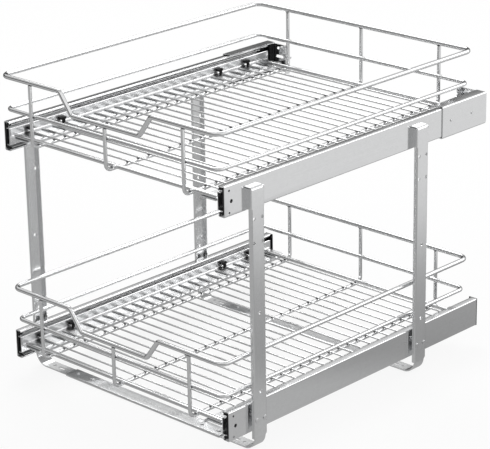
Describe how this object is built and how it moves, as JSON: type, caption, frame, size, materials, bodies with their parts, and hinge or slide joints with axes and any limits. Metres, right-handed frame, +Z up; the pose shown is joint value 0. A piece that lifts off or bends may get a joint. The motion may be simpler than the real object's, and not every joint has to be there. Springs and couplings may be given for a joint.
{
  "type": "pull-out cabinet basket",
  "caption": "Pull-out cabinet basket: an upper and a lower chromed wire basket on full-extension ball-bearing slides, carried by sheet posts on floor bars.",
  "frame": {"origin": "on the cabinet floor, at the centre of the four floor slots, midway between the four posts", "axes": "+Z up, +X to the right seen from the front, -Y the way the baskets pull out"},
  "size_m": [0.4724, 0.5812, 0.482],
  "materials": {
    "wire": "bright chrome plate, smooth",
    "slide_steel": "bright zinc plate, rolled strip",
    "post_steel": "bright nickel plate on pressed sheet",
    "cage_steel": "thin zinc-plated strip",
    "ball_steel": "polished steel balls",
    "screw_steel": "bright zinc plate",
    "black_plastic": "black moulded plastic, satin"
  },
  "bodies": {
    "frame": {"base_bar_front": "post_steel", "base_bar_rear": "post_steel", "base_bracket_front_left": "post_steel", "base_bracket_front_right": "post_steel", "base_bracket_rear_left": "post_steel", "base_bracket_rear_right": "post_steel", "post_front_left": "post_steel", "post_front_right": "post_steel", "post_rear_left": "post_steel", "post_rear_right": "post_steel", "base_screws": "screw_steel", "slide_screws": "screw_steel", "stub_screws": "screw_steel", "rear_bracket_left": "post_steel", "rear_bracket_right": "post_steel", "rear_stops": "black_plastic", "upper_outer_member_left": "slide_steel", "upper_outer_member_right": "slide_steel", "lower_outer_member_left": "slide_steel", "lower_outer_member_right": "slide_steel"},
    "upper_basket": {"upper_top_rail": "wire", "upper_mid_rail": "wire", "upper_hoop_left": "wire", "upper_hoop_middle": "wire", "upper_hoop_right": "wire", "upper_end_wires": "wire", "upper_cross_wires": "wire", "upper_wire_clips": "black_plastic", "upper_ledge_left": "slide_steel", "upper_ledge_right": "slide_steel", "upper_inner_member_left": "slide_steel", "upper_inner_member_right": "slide_steel"},
    "upper_intermediates": {"upper_intermediate_left": "slide_steel", "upper_intermediate_right": "slide_steel", "upper_bumpers": "black_plastic"},
    "upper_outer_ball_cages": {"upper_outer_cages": "cage_steel", "upper_outer_balls": "ball_steel"},
    "upper_inner_ball_cages": {"upper_inner_cages": "cage_steel", "upper_inner_balls": "ball_steel"},
    "lower_basket": {"lower_top_rail": "wire", "lower_mid_rail": "wire", "lower_hoop_left": "wire", "lower_hoop_middle": "wire", "lower_hoop_right": "wire", "lower_end_wires": "wire", "lower_cross_wires": "wire", "lower_wire_clips": "black_plastic", "lower_ledge_left": "slide_steel", "lower_ledge_right": "slide_steel", "lower_inner_member_left": "slide_steel", "lower_inner_member_right": "slide_steel"},
    "lower_intermediates": {"lower_intermediate_left": "slide_steel", "lower_intermediate_right": "slide_steel", "lower_bumpers": "black_plastic"},
    "lower_outer_ball_cages": {"lower_outer_cages": "cage_steel", "lower_outer_balls": "ball_steel"},
    "lower_inner_ball_cages": {"lower_inner_cages": "cage_steel", "lower_inner_balls": "ball_steel"}
  },
  "joints": [
    {"name": "upper_basket_slide", "type": "slide", "parent": "frame", "child": "upper_basket", "axis": [0, -1, 0], "range_m": [0, 0.55]},
    {"name": "upper_intermediates_slide", "type": "slide", "parent": "frame", "child": "upper_intermediates", "axis": [0, -1, 0], "range_m": [0, 0.275]},
    {"name": "upper_outer_ball_cages_slide", "type": "slide", "parent": "frame", "child": "upper_outer_ball_cages", "axis": [0, -1, 0], "range_m": [0, 0.1375]},
    {"name": "upper_inner_ball_cages_slide", "type": "slide", "parent": "frame", "child": "upper_inner_ball_cages", "axis": [0, -1, 0], "range_m": [0, 0.4125]},
    {"name": "lower_basket_slide", "type": "slide", "parent": "frame", "child": "lower_basket", "axis": [0, -1, 0], "range_m": [0, 0.55]},
    {"name": "lower_intermediates_slide", "type": "slide", "parent": "frame", "child": "lower_intermediates", "axis": [0, -1, 0], "range_m": [0, 0.275]},
    {"name": "lower_outer_ball_cages_slide", "type": "slide", "parent": "frame", "child": "lower_outer_ball_cages", "axis": [0, -1, 0], "range_m": [0, 0.1375]},
    {"name": "lower_inner_ball_cages_slide", "type": "slide", "parent": "frame", "child": "lower_inner_ball_cages", "axis": [0, -1, 0], "range_m": [0, 0.4125]}
  ],
  "couplings": [
    {"joint": "upper_intermediates_slide", "follows": "upper_basket_slide", "ratio": 0.5},
    {"joint": "upper_outer_ball_cages_slide", "follows": "upper_basket_slide", "ratio": 0.25},
    {"joint": "upper_inner_ball_cages_slide", "follows": "upper_basket_slide", "ratio": 0.75},
    {"joint": "lower_intermediates_slide", "follows": "lower_basket_slide", "ratio": 0.5},
    {"joint": "lower_outer_ball_cages_slide", "follows": "lower_basket_slide", "ratio": 0.25},
    {"joint": "lower_inner_ball_cages_slide", "follows": "lower_basket_slide", "ratio": 0.75}
  ]
}
